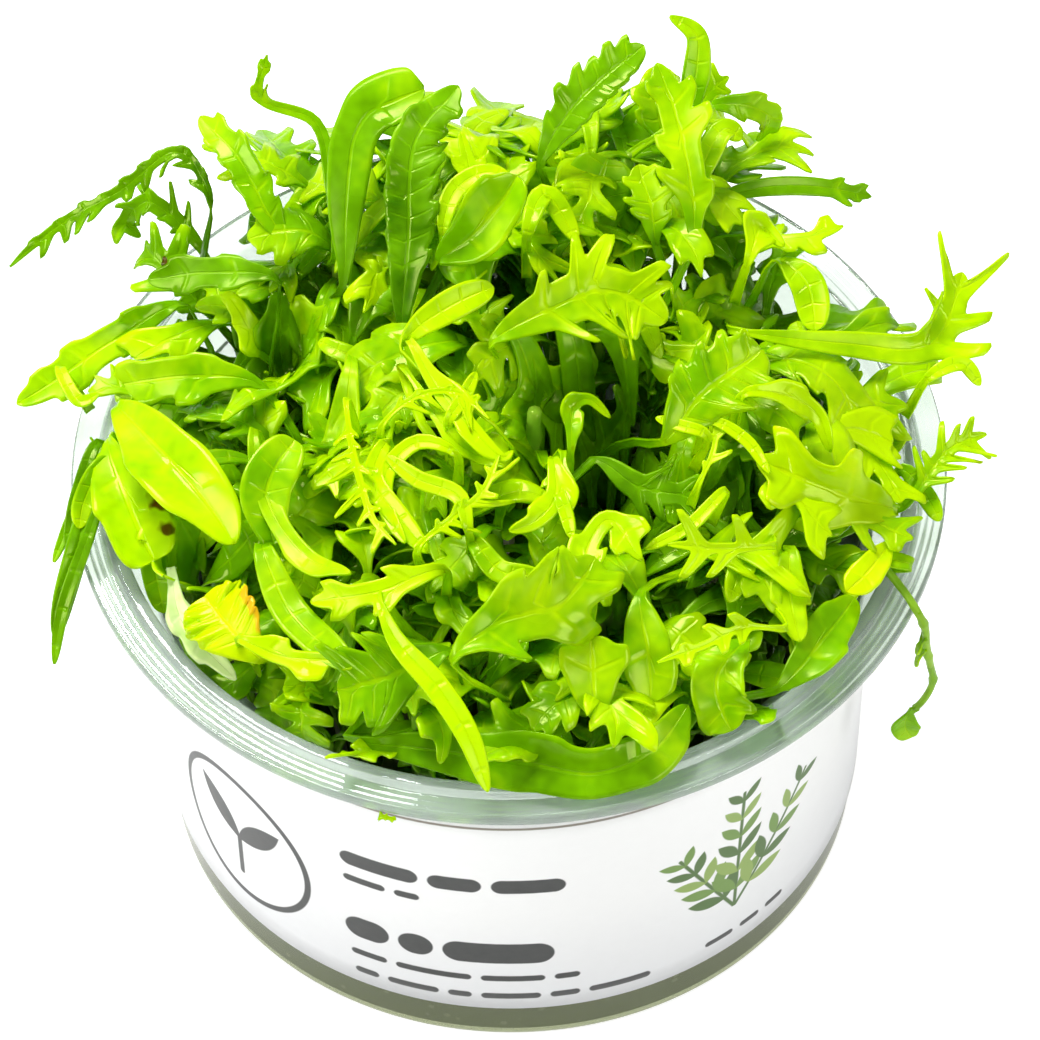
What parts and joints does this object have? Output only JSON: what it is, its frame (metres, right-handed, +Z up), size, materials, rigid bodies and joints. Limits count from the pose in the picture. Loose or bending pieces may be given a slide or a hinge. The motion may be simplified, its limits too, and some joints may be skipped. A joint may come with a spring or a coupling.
{
  "type": "hygrophila odora tissue culture cup",
  "caption": "Round clear plastic culture cup with a wide rim and a wrap label, holding nutrient gel and a crown of lobed, bright green water plant leaves.",
  "frame": {"origin": "the middle of the cup's flat base, on the surface that it stands on", "axes": "+Z up out of the cup's mouth, -Y towards the front of the label, +X to the right seen from the front"},
  "size_m": [0.1121, 0.1065, 0.0914],
  "materials": {
    "clear_plastic": "clear, glossy, faintly green",
    "label_print": null,
    "nutrient_gel": "cloudy olive gel",
    "stem_green": "smooth, wet, pale green",
    "leaf_green": "wet, glossy, bright green leaf",
    "leaf_yellow": "wet, glossy, yellow-green leaf"
  },
  "bodies": {
    "root": {"cup": "clear_plastic", "gel": "nutrient_gel", "label": "label_print", "leaf_back_rim_left": "leaf_green", "leaf_back_rim_middle": "leaf_green", "leaf_back_rim_right": "leaf_green", "leaf_back_trailing": "leaf_green", "leaf_big_left": "leaf_green", "leaf_broad_back_left": "leaf_green", "leaf_broad_centre_right": "leaf_green", "leaf_broad_low_right": "leaf_green", "leaf_curl_tip_back": "leaf_green", "leaf_curly_centre": "leaf_green", "leaf_curly_right": "leaf_green", "leaf_dark_left": "leaf_green", "leaf_fan_right": "leaf_green", "leaf_fern_left": "leaf_green", "leaf_finger_right": "leaf_green", "leaf_folded_back": "leaf_green", "leaf_front_broad": "leaf_green", "leaf_front_glossy": "leaf_green", "leaf_front_right_glossy": "leaf_green", "leaf_front_rim": "leaf_green", "leaf_front_strap": "leaf_green", "leaf_front_triangle": "leaf_green", "leaf_green_centre": "leaf_green", "leaf_hanging_end": "leaf_green", "leaf_hook_top_right": "leaf_green", "leaf_lance_left": "leaf_green", "leaf_lobed_centre": "leaf_green", "leaf_long_dark_right": "leaf_green", "leaf_low_left": "leaf_green", "leaf_oval_dark_back": "leaf_green", "leaf_oval_left": "leaf_green", "leaf_rim_right": "leaf_green", "leaf_serrated_back": "leaf_green", "leaf_spoon_centre": "leaf_green", "leaf_square_top_right": "leaf_green", "leaf_stalk_back_right": "leaf_green", "leaf_star_centre": "leaf_green", "leaf_star_right": "leaf_green", "leaf_star_top_right": "leaf_green", "leaf_strap_centre": "leaf_green", "leaf_tall_serrated": "leaf_green", "leaf_tip_left": "leaf_green", "leaf_tongue_right": "leaf_green", "leaf_trailing_left": "leaf_green", "leaf_upright_lobed": "leaf_green", "leaf_veined_left": "leaf_green", "leaf_yellow_curl_right": "leaf_yellow", "leaf_yellow_left": "leaf_yellow", "leaf_yellow_right": "leaf_yellow", "stem_back": "stem_green", "stem_back_left": "stem_green", "stem_back_right": "stem_green", "stem_front": "stem_green", "stem_front_right": "stem_green", "stem_hanging": "stem_green", "stem_left": "stem_green", "stem_middle": "stem_green"}
  },
  "joints": []
}
